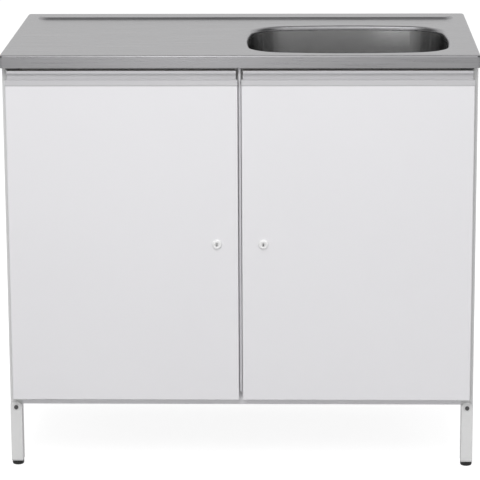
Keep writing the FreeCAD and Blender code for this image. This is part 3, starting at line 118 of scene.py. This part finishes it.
def metal(name, colour, change, rough, grain, stretch=EVEN, share=1.0, spread=0.05,
          depth=0.00001, brush=None):
    """Grain is the noise's scale, share how metallic it is, brush what Look.brushed takes."""
    look = Look(name)
    look.shader.inputs["Metallic"].default_value = share
    grains = look.noise(grain, NOISE_DETAIL, stretch)
    look.tinted(grains, colour, change)
    look.rough(grains, rough, spread)
    look.bumped(grains, depth)
    if brush:
        look.brushed(*brush)
    return look.made


def plastic(name, colour, change, rough, depth=0.00002):
    tint_scale, gloss_scale, bump_scale = 30, 200, 1500
    look = Look(name)
    look.tinted(look.noise(tint_scale), colour, change)
    look.rough(look.noise(gloss_scale), rough, spread=0.05)
    look.bumped(look.noise(bump_scale, FINE_DETAIL), depth)
    return look.made


# Each material slot of the record, with the kind of its finish.
kinds = {
    "worktop_steel": (metal, dict(colour=cool(0.38), change=0.10, rough=0.30, grain=300,
                                  stretch=ALONG_X)),
    "bowl_steel": (metal, dict(colour=grey(0.39), change=0.02, rough=0.22, grain=60, spread=0.01,
                               depth=0.0, brush=("Z", 0.9, 0.25))),
    "waste_steel": (metal, dict(colour=grey(0.55), change=0.04, rough=0.16, grain=300)),
    "grip_aluminium": (metal, dict(colour=cool(0.60), change=0.04, rough=0.40, grain=400,
                                   stretch=ALONG_X, share=0.25)),
    "lock_steel": (metal, dict(colour=grey(0.72), change=0.05, rough=0.35, grain=900, share=0.5)),
    "zinc_steel": (metal, dict(colour=(0.62, 0.63, 0.62), change=0.12, rough=0.36, grain=400)),
    "door_paint": (paint, dict(colour=cool(0.80), change=0.012, rough=0.42)),
    "carcass_paint": (paint, dict(colour=grey(0.74), change=0.015, rough=0.45)),
    "leg_paint": (paint, dict(colour=grey(0.76), change=0.015, rough=0.40)),
    "board": (plastic, dict(colour=(0.30, 0.21, 0.13), change=0.35, rough=0.75, depth=0.0002)),
    "seal_rubber": (plastic, dict(colour=grey(0.03), change=0.2, rough=0.6)),
    "bumper_rubber": (plastic, dict(colour=grey(0.45), change=0.06, rough=0.55)),
    "trap_plastic": (plastic, dict(colour=grey(0.78), change=0.03, rough=0.35)),
    "hinge_plastic": (plastic, dict(colour=grey(0.70), change=0.03, rough=0.4)),
    "lock_white": (plastic, dict(colour=grey(0.84), change=0.02, rough=0.28)),
    "plug_plastic": (plastic, dict(colour=grey(0.62), change=0.03, rough=0.45)),
    "foot_black": (plastic, dict(colour=grey(0.008), change=0.3, rough=0.5)),
    "black_steel": (metal, dict(colour=grey(0.10), change=0.15, rough=0.55, grain=900,
                                share=0.2)),
}
finishes = {name: kind(name, **values) for name, (kind, values) in kinds.items()}

for part in frame["record"]["subparts"]:
    node = frame["nodes"][part["node"]]
    node.data.materials.clear()
    node.data.materials.append(finishes[part["material_slot"]])

# The carcass is a shade darker than the doors. Its parts below and between them take the doors'
# lighter paint, a painted lightening of the shade in those recesses.
for name in ("bottom_panel", "centre_post"):
    frame["nodes"][name].data.materials[0] = finishes["door_paint"]


# ---- stage ----

def seen_level(tree, as_light, in_gloss, in_view):
    """A strength for the rays that carry light, for a gloss or a glass, and for the camera."""
    path = tree.nodes.new("ShaderNodeLightPath")
    glossy = tree.nodes.new("ShaderNodeMath")
    glossy.operation = "MAXIMUM"
    tree.links.new(path.outputs["Is Glossy Ray"], glossy.inputs[0])
    tree.links.new(path.outputs["Is Transmission Ray"], glossy.inputs[1])
    level = as_light
    for rays, strength in ((glossy.outputs[0], in_gloss), (path.outputs["Is Camera Ray"], in_view)):
        made = tree.nodes.new("ShaderNodeMapRange")
        tree.links.new(rays, made.inputs["Value"])
        feed(tree, level, made.inputs["To Min"])
        feed(tree, strength, made.inputs["To Max"])
        level = made.outputs["Result"]
    return level


def stage_floor(as_light, seen, gloss_glow, view_glow):
    """A pale floor to the rays that carry light. Where it is seen, a glow over a darker floor
    makes it white and keeps the shadow."""
    made = bpy.data.materials.new("stage_floor")
    made.use_nodes = True
    tree = made.node_tree
    tree.nodes.clear()
    out = tree.nodes.new("ShaderNodeOutputMaterial")
    pale = tree.nodes.new("ShaderNodeBsdfDiffuse")
    tree.links.new(seen_level(tree, as_light, seen, seen), pale.inputs["Color"])
    light = tree.nodes.new("ShaderNodeEmission")
    tree.links.new(seen_level(tree, 0.0, gloss_glow, view_glow), light.inputs["Strength"])
    both = tree.nodes.new("ShaderNodeAddShader")
    tree.links.new(pale.outputs[0], both.inputs[0])
    tree.links.new(light.outputs[0], both.inputs[1])
    tree.links.new(both.outputs[0], out.inputs["Surface"])
    return made


FLOOR_REACH = 60.0
floor_mesh = bpy.data.meshes.new("floor")
floor_mesh.from_pydata(
    [(FLOOR_REACH * x, FLOOR_REACH * y, 0) for x, y in ((-1, -1), (1, -1), (1, 1), (-1, 1))],
    [], [(0, 1, 2, 3)])
floor = bpy.data.objects.new("floor", floor_mesh)
bpy.context.scene.collection.objects.link(floor)
floor_mesh.materials.append(
    stage_floor(as_light=0.50, seen=0.30, gloss_glow=0.50, view_glow=0.86))


def studio(as_light, in_gloss, in_view, patches):
    """A world of one level all round, which in a gloss has shaded patches too."""
    made = bpy.data.worlds.new("studio")
    made.use_nodes = True
    tree = made.node_tree
    backdrop = tree.nodes["Background"]
    backdrop.inputs["Color"].default_value = (1, 1, 1, 1)
    towards = tree.nodes.new("ShaderNodeTexCoord").outputs["Generated"]
    glossy = in_gloss
    for aim, radius, shade in patches:
        nearness = tree.nodes.new("ShaderNodeVectorMath")
        nearness.operation = "DOT_PRODUCT"
        nearness.inputs[1].default_value = Vector(aim).normalized()
        tree.links.new(towards, nearness.inputs[0])
        patch = tree.nodes.new("ShaderNodeMapRange")
        patch.interpolation_type = "SMOOTHSTEP"
        patch.inputs["From Min"].default_value = math.cos(math.radians(radius))
        patch.inputs["From Max"].default_value = 1.0
        patch.inputs["To Min"].default_value = 1.0
        patch.inputs["To Max"].default_value = shade
        tree.links.new(nearness.outputs["Value"], patch.inputs["Value"])
        shaded = tree.nodes.new("ShaderNodeMath")
        shaded.operation = "MULTIPLY"
        tree.links.new(patch.outputs["Result"], shaded.inputs[0])
        feed(tree, glossy, shaded.inputs[1])
        glossy = shaded.outputs[0]
    tree.links.new(seen_level(tree, as_light, glossy, in_view), backdrop.inputs["Strength"])
    return made


# Each patch has the direction of its middle, its radius in degrees and the level left there.
# The first darkens the tap ledge's front, the others the ends of the bowl.
shaded_patches = [((0, 0.485, 0.875), 24, 0.20),
                  ((-1, -0.25, 0.8), 55, 0.08),
                  ((1, -0.25, 0.8), 55, 0.08)]
bpy.context.scene.world = studio(as_light=0.60, in_gloss=0.88, in_view=1.0,
                                 patches=shaded_patches)


def lamp(name, place, aim, size, watts, in_gloss=False):
    data = bpy.data.lights.new(name, "AREA")
    data.shape = "RECTANGLE"
    data.size, data.size_y = size
    data.energy = watts
    made = bpy.data.objects.new(name, data)
    made.visible_camera = False
    made.visible_glossy = in_gloss
    made.location = place
    made.rotation_mode = "QUATERNION"
    made.rotation_quaternion = (Vector(aim) - Vector(place)).to_track_quat("-Z", "Y")
    bpy.context.scene.collection.objects.link(made)


lamp("key", (-0.6, -2.9, 3.0), (0, -0.2, 0.7), (1.5, 1.5), 50)
lamp("fill", (2.6, -2.4, 1.9), (0, 0, 0.6), (1.8, 1.8), 14)
lamp("back", (0.4, 2.8, 3.2), (0, 0.2, 0.5), (2.2, 2.2), 50)

# These three show in the steel: on the worktop, on its front arris and the bowl's rim, and on
# the folded edge.
lamp("overhead", (0, -0.8, 2.7), (0, -0.5, 0.9), (3.0, 1.4), 8, in_gloss=True)
lamp("strip", (-0.17, -0.8, 2.7), (-0.15, -0.3, 0.9), (0.5, 1.4), 3.7, in_gloss=True)
lamp("front", (-0.2, -2.6, 0.9), (-0.12, -0.3, 0.88), (0.35, 0.6), 1.6, in_gloss=True)


# ---- camera ----
# Fitted to points of the photo, without a shift of the lens. The angles are in radians, the
# lens and the sensor in millimetres.

EYE = Vector((0.1363, -5.5475, 1.7567))
TURN, TILT, ROLL = 0.0260, 0.2336, -0.0051
LENS, SENSOR_WIDTH = 192.26, 36

camera_data = bpy.data.cameras.new("camera")
camera_data.sensor_width = SENSOR_WIDTH
camera_data.lens = LENS
camera = bpy.data.objects.new("camera", camera_data)
camera.matrix_world = (Matrix.Translation(EYE) @ Matrix.Rotation(TURN, 4, "Z")
                       @ Matrix.Rotation(math.pi / 2 - TILT, 4, "X")
                       @ Matrix.Rotation(ROLL, 4, "Z"))
bpy.context.scene.collection.objects.link(camera)
bpy.context.scene.camera = camera
bpy.context.scene.view_settings.view_transform = "Standard"
